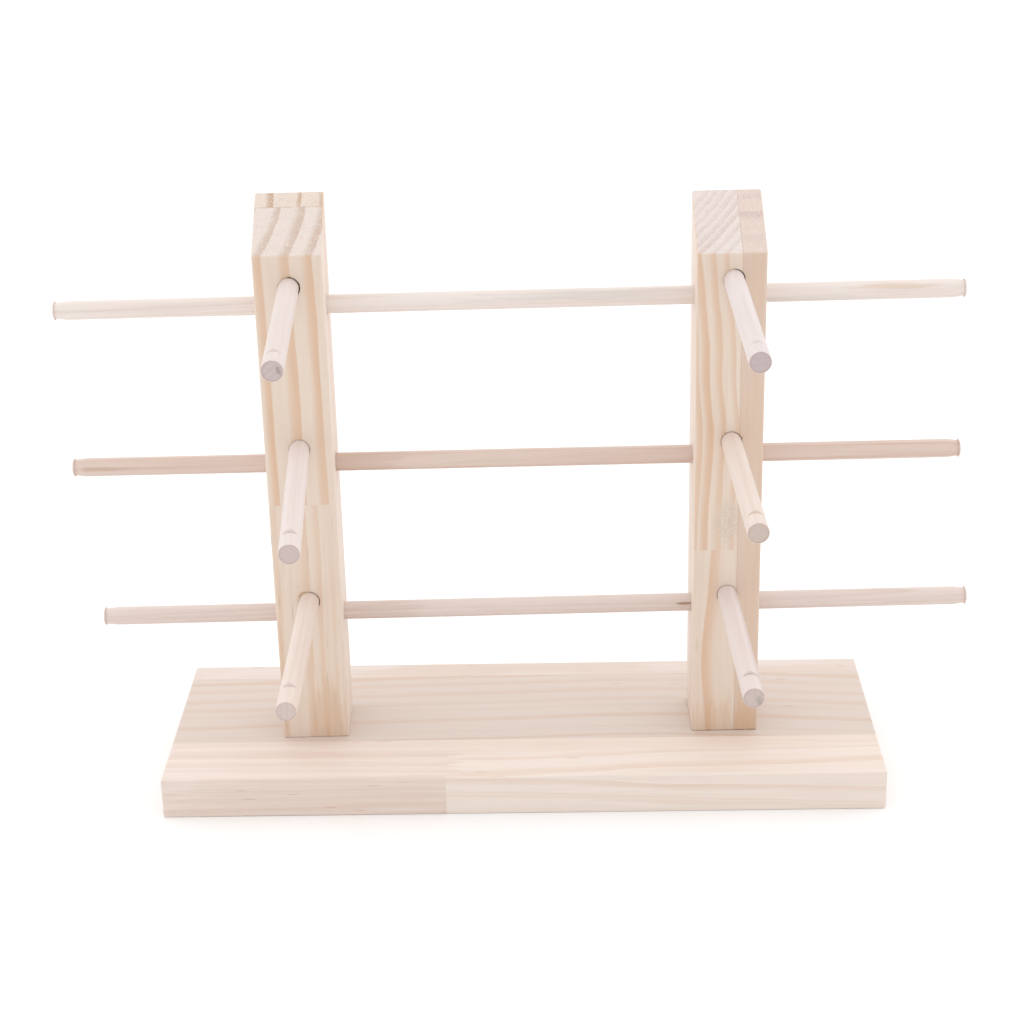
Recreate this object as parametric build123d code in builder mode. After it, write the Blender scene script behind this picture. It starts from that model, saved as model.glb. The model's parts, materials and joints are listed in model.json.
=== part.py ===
"""Two-column eyewear display rack in pine.

Two upright posts stand on a board.  Three long rails run through both posts and carry
the temples of the glasses; six pegs stand out of the posts' front faces, each with a
saddle near its tip for the nose bridge: a short ramp filed into its upper side, ending in
a step.

Units are millimetres.  The origin is the centre of the board's underside, +X is to the
right along the rails, +Y to the back, +Z up.  The pegs point towards -Y.
"""
import os
from math import atan, cos, degrees, isclose, radians, sin

from build123d import *

# --- board: edge-glued staves, the front one finger-jointed from two lengths ---
board_width = 320.0
board_depth = 111.0
board_thick = 18.5
back_stave_width = 13.5
front_stave_width = 34.5
board_joint_x = -34.0  # where the fingers of the front stave start
arris = 0.8  # radius of the sanded outer edges

# --- finger joints ---
finger_length = 7.0
finger_flat = 1.0  # width of a finger's blunt tip
finger_pitch = 4.0  # wanted pitch; the real one divides the stave evenly

# --- posts: glued square stock, their tops sawn on a slant, low side to the front ---
post_width = 29.4
post_depth = 31.6
top_rise = 19.3  # the back of a post's top is this much above its front
top_chamfer = 0.4
left_post = {"at": (-94.8, -0.9), "front_height": 227.2, "twist": 1.6}
right_post = {"at": (91.3, 0.4), "front_height": 224.6, "twist": 0.8}
left_back_lamina = 7.6  # thickness of the lamina glued to the left post's back
left_joint_height = 114.8  # finger joint in the left post, above the board
right_side_stave = 10.3  # width of the stave on the right post's right side
right_joint_height = 89.9

# --- dowels ---
rail_radius = 4.1
peg_radius = 4.45
fit_clearance = 0.1  # radial, so that rails and pegs slide by hand
mouth_flare = 0.1  # the drill opens a hole's mouth by this much
mouth_depth = 0.4
mouth_start = 0.2  # the flare starts this far outside the face

# --- rails: through both posts, one below each pair of pegs ---
tier_pitch = 72.5
bottom_rail_height = 74.7  # above the board's underside, at the left post
rail_length = 390.0
rail_end_round = 0.7
rails = {  # rise from the left post to the right one, and how far it is pushed to +X
    "rail_bottom": {"tier": 0, "rise": 1.5, "shift": 7.5},
    "rail_middle": {"tier": 1, "rise": 0.8, "shift": 0.6},
    "rail_top": {"tier": 2, "rise": 1.2, "shift": -0.9},
}

# --- pegs: blind sockets in the front faces, each drilled by hand ---
rail_to_peg = 12.1  # a peg's axis is this far above the rail's
peg_reach = 105.0  # how far a peg stands out of the post
peg_seat = 20.0  # how far it goes in
socket_depth = 22.0
peg_tip_chamfer = 0.25
saddle_ramp = 4.5  # length of the ramp that goes down to the saddle's step
saddle_lean = 0.4  # the step leans this much towards the tip
slack_angle = 35.0  # degrees above +X, the side on which a worn socket is wide
# x is across the post; yaw turns the tip towards +X and pitch lifts it; the saddle's step stands
# this far from the tip and is this high; slack is how much a worn socket is too wide
peg_table = {
    "peg_left_bottom": (left_post, 0, {"x": 0.4, "yaw": 0.6, "pitch": 0.4}, (14.0, 1.5), 0.25),
    "peg_left_middle": (left_post, 1, {"x": 0.3, "yaw": 3.6, "pitch": -1.7}, (11.0, 1.7), 0.0),
    "peg_left_top": (left_post, 2, {"x": 0.0, "yaw": 2.8, "pitch": -0.2}, (10.5, 1.3), 0.45),
    "peg_right_bottom": (right_post, 0, {"x": 0.3, "yaw": 1.3, "pitch": 1.8}, (13.0, 1.7), 0.0),
    "peg_right_middle": (right_post, 1, {"x": 0.9, "yaw": 1.1, "pitch": 1.3}, (10.5, 1.7), 0.1),
    "peg_right_top": (right_post, 2, {"x": 0.8, "yaw": 0.7, "pitch": -0.3}, (10.5, 1.0), 0.25),
}
pegs = {
    name: {"post": post, "tier": tier, **lie, "step_from_tip": saddle[0], "step": saddle[1], "slack": slack}
    for name, (post, tier, lie, saddle, slack) in peg_table.items()
}

# --- countersunk wood screws, up through the board into each post's end grain ---
screw_spacing = 16.0
screw_back = -1.0  # the pair sits this far from the post's middle, to the back
screw_length = 45.0
screw_head_radius = 4.0
screw_core_radius = 1.4
screw_thread_radius = 2.0
screw_shank_radius = 1.9
screw_shank_end = 18.0  # the plain shank ends here, above the head's face
thread_pitch = 1.8
screw_recess = 0.3  # the head lies this far inside the board's underside
cross_width = 1.0
cross_span = 4.6
cross_depth = 1.6

# --- worked out from the above ---
half_width = board_width / 2
half_depth = board_depth / 2
front_seam_y = -half_depth + front_stave_width
back_seam_y = half_depth - back_stave_width
screw_head_height = screw_head_radius - screw_shank_radius  # a 90 degree head
flare_angle = degrees(atan(mouth_flare / mouth_depth))


def finger_line(length):
    """Points (along the seam, finger height) of a finger joint of the given length."""
    count = round(length / finger_pitch)
    pitch = (length - finger_flat) / count
    points = []
    for i in range(count):
        start = i * pitch
        points += [(start, 0), (start + finger_flat, 0)]
        points += [(start + pitch / 2, finger_length), (start + pitch / 2 + finger_flat, finger_length)]
    return points + [(count * pitch, 0), (length, 0)]


def post_plane(post):
    """The plane of a post's foot: x across the post, y to its back, z up."""
    turn = radians(post["twist"])
    return Plane(origin=(*post["at"], board_thick), x_dir=(cos(turn), sin(turn), 0), z_dir=(0, 0, 1))


def side_plane(post, x):
    """The plane of a post's side view at x across it: x to the back, y up."""
    foot = post_plane(post)
    return Plane(origin=foot.from_local_coords((x, 0, 0)), x_dir=foot.y_dir, z_dir=foot.x_dir)


def top_height(post, y):
    """Height of a post's slanted top above the board, at y from its middle."""
    return post["front_height"] + top_rise * (y + post_depth / 2) / post_depth


def rail_axis(name):
    """A rail's centre and unit direction: it joins its two holes in the posts."""
    rail = rails[name]
    height = bottom_rail_height + rail["tier"] * tier_pitch
    left = Vector(*left_post["at"], height)
    right = Vector(*right_post["at"], height + rail["rise"])
    along = (right - left).normalized()
    return (left + right) / 2 + along * rail["shift"], along


def peg_plane(name):
    """The plane of a peg's mouth: z along the peg to its tip, y up."""
    peg = pegs[name]
    foot = post_plane(peg["post"])
    yaw, pitch = radians(peg["yaw"]), radians(peg["pitch"])
    height = bottom_rail_height + peg["tier"] * tier_pitch + rail_to_peg - board_thick
    return Plane(
        origin=foot.from_local_coords((peg["x"], -post_depth / 2, height)),
        x_dir=(cos(yaw), sin(yaw), 0),
        z_dir=(sin(yaw) * cos(pitch), -cos(yaw) * cos(pitch), sin(pitch)),
    )


def socket_plane(name):
    """The plane of a socket's mouth, off the peg's own by half of its slack."""
    mouth = peg_plane(name)
    aim, shift = radians(slack_angle), pegs[name]["slack"] / 2
    mouth.origin = mouth.from_local_coords((shift * cos(aim), shift * sin(aim), 0))
    return mouth


def screw_places(post):
    """Where a post's two screws stand, on the board's underside."""
    foot = post_plane(post)
    spots = [foot.from_local_coords((side * screw_spacing / 2, screw_back, -board_thick)) for side in (-1, 1)]
    return [(spot.X, spot.Y) for spot in spots]


def ease_board(stave):
    """Round the edges of a stave that lie on two outer faces of the board."""

    def outer_faces(edge):
        middle = edge.center()
        return (
            isclose(abs(middle.X), half_width, abs_tol=0.01)
            + isclose(abs(middle.Y), half_depth, abs_tol=0.01)
            + isclose(abs(middle.Z - board_thick / 2), board_thick / 2, abs_tol=0.01)
        )

    fillet([edge for edge in stave.edges() if outer_faces(edge) == 2], radius=arris)


def ease_post(piece, post):
    """Round a post piece's outer upright edges and chamfer the rim of its sawn top."""
    foot = post_plane(post)

    def outer_sides(edge):
        middle = foot.to_local_coords(edge.center())
        across = isclose(abs(middle.X), post_width / 2, abs_tol=0.01)
        along = isclose(abs(middle.Y), post_depth / 2, abs_tol=0.01)
        return across, along

    uprights = [edge for edge in piece.edges().filter_by(Axis.Z) if all(outer_sides(edge))]
    fillet(uprights, radius=arris)
    top = piece.faces().sort_by(Axis.Z)[-1]
    if abs(top.normal_at().Z) < 0.99:
        chamfer([edge for edge in top.edges() if any(outer_sides(edge))], length=top_chamfer)


def drill(mouths, depth, bore_radius):
    """Bore one hole from the first mouth plane, and flare every mouth plane."""
    with BuildSketch(mouths[0].offset(mouth_start)) as bore:
        Circle(bore_radius)
    extrude(bore.sketch, amount=-(depth + 2 * mouth_start), mode=Mode.SUBTRACT)
    for mouth in mouths:
        with BuildSketch(mouth.offset(mouth_start)) as flare:
            Circle(bore_radius + mouth_flare)
        extrude(flare.sketch, amount=-(mouth_start + mouth_depth), taper=flare_angle, mode=Mode.SUBTRACT)


def drill_post(post):
    """Drill the rail bores, peg sockets and screw pilots of a post through the open part."""
    for name in rails:
        middle, along = rail_axis(name)
        at_post = middle + along * (Vector(*post["at"], middle.Z) - middle).dot(along)
        near, far = at_post - along * post_width / 2, at_post + along * post_width / 2
        mouths = [Plane(origin=near, z_dir=-along), Plane(origin=far, z_dir=along)]
        drill(mouths, post_width, rail_radius + fit_clearance)
    for name, peg in pegs.items():
        if peg["post"] is post:
            drill([socket_plane(name)], socket_depth, peg_radius + fit_clearance + peg["slack"] / 2)
    with BuildSketch(Plane.XY) as pilots:
        with Locations(*screw_places(post)):
            Circle(screw_thread_radius)
    extrude(pilots.sketch, amount=screw_recess + screw_length, mode=Mode.SUBTRACT)


def export(piece, name):
    """Label a finished piece and write its STEP file."""
    piece.label = name
    export_step(piece, f"parts/{name}.step")


os.makedirs("parts", exist_ok=True)

# ------------------------------------------------------------------ board

with BuildPart() as base_back_stave:
    with BuildSketch(Plane.XY):
        with Locations((0, half_depth - back_stave_width / 2)):
            Rectangle(board_width, back_stave_width)
    extrude(amount=board_thick)
    ease_board(base_back_stave)
export(base_back_stave.part, "base_back_stave")

with BuildPart() as base_middle_stave:
    with BuildSketch(Plane.XY):
        with Locations((0, (front_seam_y + back_seam_y) / 2)):
            Rectangle(board_width, back_seam_y - front_seam_y)
    extrude(amount=board_thick)
    ease_board(base_middle_stave)
    screw_spots = screw_places(left_post) + screw_places(right_post)
    with Locations(*[Location((x, y, 0), (180, 0, 0)) for x, y in screw_spots]):
        CounterSinkHole(
            radius=screw_thread_radius,
            counter_sink_radius=screw_head_radius + screw_recess,
            counter_sink_angle=90,
        )
export(base_middle_stave.part, "base_middle_stave")

board_fingers = [(board_joint_x + h, -half_depth + s) for s, h in finger_line(front_stave_width)]

for side, name in ((-1, "base_front_left_stave"), (1, "base_front_right_stave")):
    with BuildPart() as front_stave:
        with BuildSketch(Plane.XY):
            with BuildLine():
                end_x = side * half_width
                Polyline(*board_fingers, (end_x, front_seam_y), (end_x, -half_depth), close=True)
            make_face()
        extrude(amount=board_thick)
        ease_board(front_stave)
    export(front_stave.part, name)

# ------------------------------------------------------------------ left post

front_y = -post_depth / 2
lamina_y = post_depth / 2 - left_back_lamina
left_fingers = [(front_y + s, left_joint_height + h) for s, h in finger_line(lamina_y - front_y)]

with BuildPart() as left_post_upper:
    with BuildSketch(side_plane(left_post, -post_width / 2)):
        with BuildLine():
            rim = [(lamina_y, top_height(left_post, lamina_y)), (front_y, top_height(left_post, front_y))]
            Polyline(*left_fingers, *rim, close=True)
        make_face()
    extrude(amount=post_width)
    ease_post(left_post_upper, left_post)
    drill_post(left_post)
export(left_post_upper.part, "left_post_upper")

with BuildPart() as left_post_lower:
    with BuildSketch(side_plane(left_post, -post_width / 2)):
        with BuildLine():
            Polyline(*left_fingers, (lamina_y, 0), (front_y, 0), close=True)
        make_face()
    extrude(amount=post_width)
    ease_post(left_post_lower, left_post)
    drill_post(left_post)
export(left_post_lower.part, "left_post_lower")

with BuildPart() as left_post_back_lamina:
    with BuildSketch(side_plane(left_post, -post_width / 2)):
        with BuildLine():
            back_y = post_depth / 2
            rim = [(back_y, top_height(left_post, back_y)), (lamina_y, top_height(left_post, lamina_y))]
            Polyline((lamina_y, 0), (back_y, 0), *rim, close=True)
        make_face()
    extrude(amount=post_width)
    ease_post(left_post_back_lamina, left_post)
export(left_post_back_lamina.part, "left_post_back_lamina")

# ------------------------------------------------------------------ right post

seam_x = post_width / 2 - right_side_stave
right_fingers = [(front_y + s, right_joint_height + h) for s, h in finger_line(post_depth)]
right_rim = [(y, top_height(right_post, y)) for y in (post_depth / 2, front_y)]

with BuildPart() as right_post_upper:
    with BuildSketch(side_plane(right_post, -post_width / 2)):
        with BuildLine():
            Polyline(*right_fingers, *right_rim, close=True)
        make_face()
    extrude(amount=post_width - right_side_stave)
    ease_post(right_post_upper, right_post)
    drill_post(right_post)
export(right_post_upper.part, "right_post_upper")

with BuildPart() as right_post_lower:
    with BuildSketch(side_plane(right_post, -post_width / 2)):
        with BuildLine():
            Polyline(*right_fingers, (post_depth / 2, 0), (front_y, 0), close=True)
        make_face()
    extrude(amount=post_width - right_side_stave)
    ease_post(right_post_lower, right_post)
    drill_post(right_post)
export(right_post_lower.part, "right_post_lower")

with BuildPart() as right_post_side_stave:
    with BuildSketch(side_plane(right_post, seam_x)):
        with BuildLine():
            Polyline((front_y, 0), (post_depth / 2, 0), *right_rim, close=True)
        make_face()
    extrude(amount=right_side_stave)
    ease_post(right_post_side_stave, right_post)
    drill_post(right_post)
export(right_post_side_stave.part, "right_post_side_stave")

# ------------------------------------------------------------------ rails

for name in rails:
    centre, along = rail_axis(name)
    with BuildPart() as rail:
        with BuildSketch(Plane(origin=centre - along * rail_length / 2, z_dir=along)):
            Circle(rail_radius)
        extrude(amount=rail_length)
        fillet(rail.edges().filter_by(GeomType.CIRCLE), radius=rail_end_round)
    export(rail.part, name)

# ------------------------------------------------------------------ pegs

for name, peg in pegs.items():
    mouth = peg_plane(name)
    step_foot = mouth.from_local_coords((0, peg_radius - peg["step"], peg_reach - peg["step_from_tip"]))
    with BuildPart() as dowel:
        with BuildSketch(mouth.offset(-peg_seat)):
            Circle(peg_radius)
        extrude(amount=peg_seat + peg_reach)
        chamfer(dowel.edges().filter_by(GeomType.CIRCLE), length=peg_tip_chamfer)
        with BuildSketch(Plane(origin=step_foot, x_dir=mouth.z_dir, z_dir=-mouth.x_dir)):
            with BuildLine():
                Polyline((0, 0), (saddle_lean, peg["step"]), (-saddle_ramp, peg["step"]), close=True)
            make_face()
        extrude(amount=peg_radius, both=True, mode=Mode.SUBTRACT)
    export(dowel.part, name)

# ------------------------------------------------------------------ screws

thread_count = int((screw_length - screw_shank_end) / thread_pitch) - 1
thread = []
for i in range(thread_count):
    z = screw_shank_end + i * thread_pitch
    thread += [(screw_core_radius, z), (screw_thread_radius, z + thread_pitch / 2)]
thread_end = screw_shank_end + thread_count * thread_pitch

for post, name in ((left_post, "left_post_screws"), (right_post, "right_post_screws")):
    with BuildPart() as screws:
        for x, y in screw_places(post):
            foot = Vector(x, y, screw_recess)
            with BuildSketch(Plane(origin=foot, x_dir=(1, 0, 0), z_dir=(0, -1, 0))):
                with BuildLine():
                    Polyline(
                        (0, 0),
                        (screw_head_radius, 0),
                        (screw_shank_radius, screw_head_height),
                        (screw_shank_radius, screw_shank_end),
                        *thread,
                        (screw_core_radius, thread_end),
                        (0, screw_length),
                        close=True,
                    )
                make_face()
            revolve(axis=Axis(origin=foot, direction=(0, 0, 1)))
            with BuildSketch(Plane(origin=foot, z_dir=(0, 0, 1))):
                Rectangle(cross_span, cross_width)
                Rectangle(cross_width, cross_span)
            extrude(amount=cross_depth, taper=12, mode=Mode.SUBTRACT)
    export(screws.part, name)
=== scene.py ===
import json
from math import cos, hypot, pi, radians, sin, sqrt

import bmesh
import bpy
from mathutils import Matrix, Vector, noise


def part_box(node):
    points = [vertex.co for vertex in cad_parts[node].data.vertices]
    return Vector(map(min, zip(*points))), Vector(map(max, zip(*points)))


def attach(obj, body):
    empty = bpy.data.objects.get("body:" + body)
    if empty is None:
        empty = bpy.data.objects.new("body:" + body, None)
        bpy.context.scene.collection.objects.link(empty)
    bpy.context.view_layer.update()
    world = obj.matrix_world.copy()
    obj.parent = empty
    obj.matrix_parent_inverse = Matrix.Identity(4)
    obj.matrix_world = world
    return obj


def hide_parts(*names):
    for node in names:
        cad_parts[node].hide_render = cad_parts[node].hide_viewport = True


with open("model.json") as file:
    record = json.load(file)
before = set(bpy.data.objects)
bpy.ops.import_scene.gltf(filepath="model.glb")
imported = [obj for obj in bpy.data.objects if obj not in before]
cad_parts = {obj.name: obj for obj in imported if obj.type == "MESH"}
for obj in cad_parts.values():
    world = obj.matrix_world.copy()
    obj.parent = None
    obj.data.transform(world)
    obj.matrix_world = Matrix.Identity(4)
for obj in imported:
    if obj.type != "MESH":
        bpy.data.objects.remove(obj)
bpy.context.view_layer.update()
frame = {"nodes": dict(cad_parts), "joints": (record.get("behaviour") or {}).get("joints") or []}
scene = bpy.context.scene
joint_axis = {joint["child"]: Vector(joint["axis"]) for joint in frame["joints"]}
MM = 0.001

# ------------------------------------------------------------------ camera
CAMERA_AT = Vector((0.01604, -0.89064, 0.49651))
CAMERA_YAW = -1.234  # degrees, to the right of +Y
CAMERA_PITCH = 22.826  # degrees, downwards
CAMERA_ROLL = -1.355
SENSOR = 36.0  # mm
LENS = 76.35  # mm


def make_camera():
    """The scene's camera, at the height and distance of someone standing at the table."""
    yaw, pitch, roll = radians(CAMERA_YAW), radians(CAMERA_PITCH), radians(CAMERA_ROLL)
    ahead = Vector((sin(yaw) * cos(pitch), cos(yaw) * cos(pitch), -sin(pitch)))
    level = Vector((cos(yaw), -sin(yaw), 0))
    above = level.cross(ahead)
    right = level * cos(roll) + above * sin(roll)
    up = above * cos(roll) - level * sin(roll)
    camera = bpy.data.objects.new("camera", bpy.data.cameras.new("camera"))
    camera.data.lens = LENS
    camera.data.sensor_width = SENSOR
    camera.data.clip_start = 0.01
    turn = Matrix((right, up, -ahead)).transposed().to_4x4()
    camera.matrix_world = Matrix.Translation(CAMERA_AT) @ turn
    scene.collection.objects.link(camera)
    scene.camera = camera


# ------------------------------------------------------------------ node graphs
def linear(level):
    """One channel of a screen colour, 0 to 255, as linear light."""
    share = level / 255
    return share / 12.92 if share <= 0.04045 else ((share + 0.055) / 1.055) ** 2.4


def srgb(red, green, blue):
    """A screen colour as a shader socket takes it."""
    return (linear(red), linear(green), linear(blue), 1.0)


class Graph:
    """A node tree built from short calls. A call that makes a node returns its output."""

    def __init__(self, owner, shader):
        owner.use_nodes = True
        self.owner = owner
        self.tree = owner.node_tree
        self.shader = self.tree.nodes[shader]

    def node(self, kind, **settings):
        """A new node with these properties set, itself and not its output."""
        made = self.tree.nodes.new("ShaderNode" + kind)
        for key, value in settings.items():
            setattr(made, key, value)
        return made

    def feed(self, socket, value):
        """Link an output to the socket, or set a plain value on it."""
        if isinstance(value, bpy.types.NodeSocket):
            self.tree.links.new(value, socket)
        else:
            socket.default_value = value

    def fill(self, made, values, out=0):
        """Feed a node's inputs in order and return one of its outputs."""
        for socket, value in zip(made.inputs, values):
            self.feed(socket, value)
        return made.outputs[out]

    def math(self, operation, *values):
        return self.fill(self.node("Math", operation=operation), values)

    def total(self, *values):
        """Sum of any number of values."""
        result = values[0]
        for value in values[1:]:
            result = self.math("ADD", result, value)
        return result

    def times(self, *values):
        """Product of any number of values."""
        result = values[0]
        for value in values[1:]:
            result = self.math("MULTIPLY", result, value)
        return result

    def dot(self, vector, direction):
        made = self.node("VectorMath", operation="DOT_PRODUCT")
        return self.fill(made, (vector, tuple(direction)), "Value")

    def size(self, *sides):
        """Length of a vector given by its three sides."""
        made = self.node("VectorMath", operation="LENGTH")
        return self.fill(made, (self.join(*sides),), "Value")

    def join(self, x, y, z=0.0):
        return self.fill(self.node("CombineXYZ"), (x, y, z))

    def noise(self, vector, detail=2.0, roughness=0.5):
        made = self.node("TexNoise")
        made.inputs["Scale"].default_value = 1.0
        made.inputs["Detail"].default_value = detail
        made.inputs["Roughness"].default_value = roughness
        return self.fill(made, (vector,), "Fac")

    def cells(self, vector, out="Distance"):
        made = self.node("TexVoronoi")
        made.inputs["Scale"].default_value = 1.0
        return self.fill(made, (vector,), out)

    def spread(self, value, low, high, to_low=0.0, to_high=1.0, kind="SMOOTHSTEP"):
        """Carry value from the range low..high to to_low..to_high, held at both ends."""
        made = self.node("MapRange", interpolation_type=kind)
        return self.fill(made, (value, low, high, to_low, to_high))

    def line(self, value, low, high, to_low=0.0, to_high=1.0):
        """Like spread, with no easing."""
        return self.spread(value, low, high, to_low, to_high, "LINEAR")

    def ramp(self, value, stops, interpolation="LINEAR"):
        """A grey ramp through stops of (place from 0 to 1, level)."""
        made = self.node("ValToRGB")
        made.color_ramp.interpolation = interpolation
        elements = made.color_ramp.elements
        elements.remove(elements[-1])
        for i, (place, level) in enumerate(stops):
            stop = elements.new(place) if i else elements[0]
            stop.position = place
            stop.color = (level, level, level, 1.0)
        return self.fill(made, (value,))

    def mix(self, share, a, b, kind="MIX"):
        made = self.node("Mix", data_type="RGBA", blend_type=kind)
        for index, value in ((0, share), (6, a), (7, b)):
            self.feed(made.inputs[index], value)
        return made.outputs[2]

    def shade(self, colour, level):
        """A colour made lighter or darker by a level near 1."""
        return self.mix(1.0, colour, self.join(level, level, level), "MULTIPLY")

    def finish(self, colour, roughness, height, depth):
        """Feed the Principled shader, with height as relief of the given depth in metres."""
        bump = self.node("Bump")
        bump.inputs["Distance"].default_value = depth
        self.feed(bump.inputs["Height"], height)
        self.feed(self.shader.inputs["Base Color"], colour)
        self.feed(self.shader.inputs["Roughness"], roughness)
        self.feed(self.shader.inputs["Normal"], bump.outputs[0])
        return self.owner


def material_graph(name):
    """A new material's graph, with the object's own coordinates and normal at hand."""
    graph = Graph(bpy.data.materials.new(name), "Principled BSDF")
    coordinates = graph.node("TexCoord")
    graph.position = coordinates.outputs["Object"]
    graph.normal = coordinates.outputs["Normal"]
    return graph


# ------------------------------------------------------------------ studio
DOME_LEVEL = 0.875  # brightness of the white surround at the horizon, to the side
DOME_RISE = 0.36  # how much brighter it is overhead
DOME_BACK = 0.20  # and how much brighter behind the object, as a lit backdrop is
SOFT_BOXES = {  # where each stands, its size in metres and its power in watts
    "left_box": (Vector((-1.0, -0.05, 0.60)), 0.9, 1.5),
    "right_box": (Vector((1.05, 0.0, 0.60)), 0.9, 1.5),
    "front_box": (Vector((0.0, -1.10, 0.70)), 0.9, 0.5),
}
LIT_POINT = Vector((0.0, 0.0, 0.12))
FLOOR_HALF = 40.0  # m


def make_studio():
    """A white dome and three soft boxes: the even light of a product table."""
    scene.view_settings.view_transform = "Standard"
    scene.world = bpy.data.worlds.new("studio")
    graph = Graph(scene.world, "Background")
    direction = graph.node("TexCoord").outputs["Generated"]
    level = graph.math("ADD", graph.dot(direction, (0.0, DOME_BACK, DOME_RISE)), DOME_LEVEL)
    graph.feed(graph.shader.inputs["Color"], (1.0, 1.0, 1.0, 1.0))
    graph.feed(graph.shader.inputs["Strength"], level)
    for name, (place, size, power) in SOFT_BOXES.items():
        box = bpy.data.objects.new(name, bpy.data.lights.new(name, "AREA"))
        box.data.size = size
        box.data.energy = power
        box.location = place
        box.rotation_mode = "QUATERNION"
        box.rotation_quaternion = (LIT_POINT - place).to_track_quat("-Z", "Y")
        scene.collection.objects.link(box)


def make_floor():
    """A plain white floor, far wider than the view."""
    grid = bmesh.new()
    bmesh.ops.create_grid(grid, x_segments=2, y_segments=2, size=FLOOR_HALF)
    mesh = bpy.data.meshes.new("floor")
    grid.to_mesh(mesh)
    grid.free()
    graph = material_graph("studio_floor")
    mottle = graph.noise(graph.position)
    colour = graph.mix(mottle, srgb(249, 249, 249), srgb(252, 252, 252))
    roughness = graph.spread(mottle, 0.3, 0.7, 0.85, 0.95)
    mesh.materials.append(graph.finish(colour, roughness, mottle, 0.01 * MM))
    floor = bpy.data.objects.new("floor", mesh)
    scene.collection.objects.link(floor)


# ------------------------------------------------------------------ how wood is cut
class Cut:
    """How a piece was sawn from its tree.

    In mm from the origin, u runs across the piece, v through it and w along its grain. The rings
    go round the heart, a line along w at (u, v). A ring is named by the u where it meets the face
    that is looked at, which is at v = show, or by its own (u, v).
    """

    def __init__(self, origin, across, through, along, heart, show=0.0):
        self.origin = Vector(origin)
        self.axes = [Vector(axis) for axis in (across, through, along)]
        self.heart = heart
        self.show = show

    def reach(self, spot):
        """Distance from the heart to the ring through a spot."""
        u, v = spot if isinstance(spot, tuple) else (spot, self.show)
        return hypot(u - self.heart[0], v - self.heart[1])

    def lay(self, graph):
        """The graph's u, v and w outputs, and its normal along the same three axes."""
        local = graph.node("VectorMath", operation="SUBTRACT")
        local = graph.fill(local, (graph.position, tuple(self.origin)))
        graph.place = [graph.dot(local, axis / MM) for axis in self.axes]
        graph.facing = [graph.math("ABSOLUTE", graph.dot(graph.normal, axis)) for axis in self.axes]


AS_IT_LIES = Cut((0, 0, 0), (1, 0, 0), (0, 1, 0), (0, 0, 1), (0, 0))  # for what has no rings


def grain(graph, across, along):
    """Noise coordinates in which across mm by along mm are one unit."""
    sizes = (across, across, along)
    return graph.join(*[graph.math("DIVIDE", value, size) for value, size in zip(graph.place, sizes)])


def drifted(graph, drift):
    """u less a shift that depends on w, given as points of (w, shift)."""
    if not drift:
        return graph.place[0]
    low, high = drift[0][0], drift[-1][0]
    least = min(shift for _, shift in drift)
    span = max(shift for _, shift in drift) - least
    stops = [((at - low) / (high - low), (shift - least) / span) for at, shift in drift]
    bend = graph.ramp(graph.line(graph.place[2], low, high), stops, "CARDINAL")
    return graph.math("SUBTRACT", graph.place[0], graph.math("MULTIPLY_ADD", bend, span, least))


def heart_distance(graph, cut, drift, wander, quiver):
    """Distance from the heart in mm, made uneven as growth is."""
    slow = graph.noise(grain(graph, 28.0, 150.0))
    quick = graph.noise(grain(graph, 4.0, 40.0))
    u = graph.math("SUBTRACT", drifted(graph, drift), cut.heart[0])
    v = graph.math("SUBTRACT", graph.place[1], cut.heart[1])
    slow = graph.line(slow, 0.2, 0.8, -wander, wander)
    quick = graph.line(quick, 0.2, 0.8, -quiver, quiver)
    return graph.total(graph.size(u, v, 0.0), slow, quick)


RING_SHAPE = ((1.0, 0.0), (0.5, 0.8), (0.05, 1.0))  # (share of width, level), from inside out
RING_EDGE = 0.3  # mm in which a ring ends, on its outer side


def named_rings(graph, cut, distance, rings):
    """Latewood share, 0 to 1, of rings given as (outer edge, width, strength)."""
    edges = sorted((cut.reach(spot), width, strength) for spot, width, strength in rings)
    low = edges[0][0] - edges[0][1] - 1
    high = edges[-1][0] + 1
    stops = []
    for edge, width, strength in edges:
        shape = [(edge - share * width, level) for share, level in RING_SHAPE]
        for at, level in shape + [(edge + RING_EDGE, 0.0)]:
            place = (at - low) / (high - low)
            if not stops or place > stops[-1][0]:
                stops.append((place, level * strength))
    return graph.ramp(graph.line(distance, low, high), stops)


EVEN_RING = ((0.0, 0.0), (0.5, 0.12), (0.8, 0.6), (0.92, 1.0), (1.0, 0.0))  # (share of spacing, level)
DASH_CELL = 1.0  # mm across the grain; a cell holds one dash at most
DASH_EDGE = (0.06, 0.18)  # shares of a cell from a dash's middle at which it starts and ends fading


def even_rings(graph, distance, spacing):
    """Latewood share of rings that repeat every spacing mm."""
    turn = graph.math("FRACT", graph.math("DIVIDE", distance, spacing))
    return graph.ramp(turn, EVEN_RING)


def dashes(graph, length, share):
    """Thin dark dashes along the grain, such as resin canals: share of the cells hold one."""
    cell = grain(graph, DASH_CELL, length)
    near = graph.spread(graph.cells(cell), *DASH_EDGE, 1.0, 0.0)
    pick = graph.math("LESS_THAN", graph.dot(graph.cells(cell, "Color"), (1, 0, 0)), share)
    return graph.times(near, pick)


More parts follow.
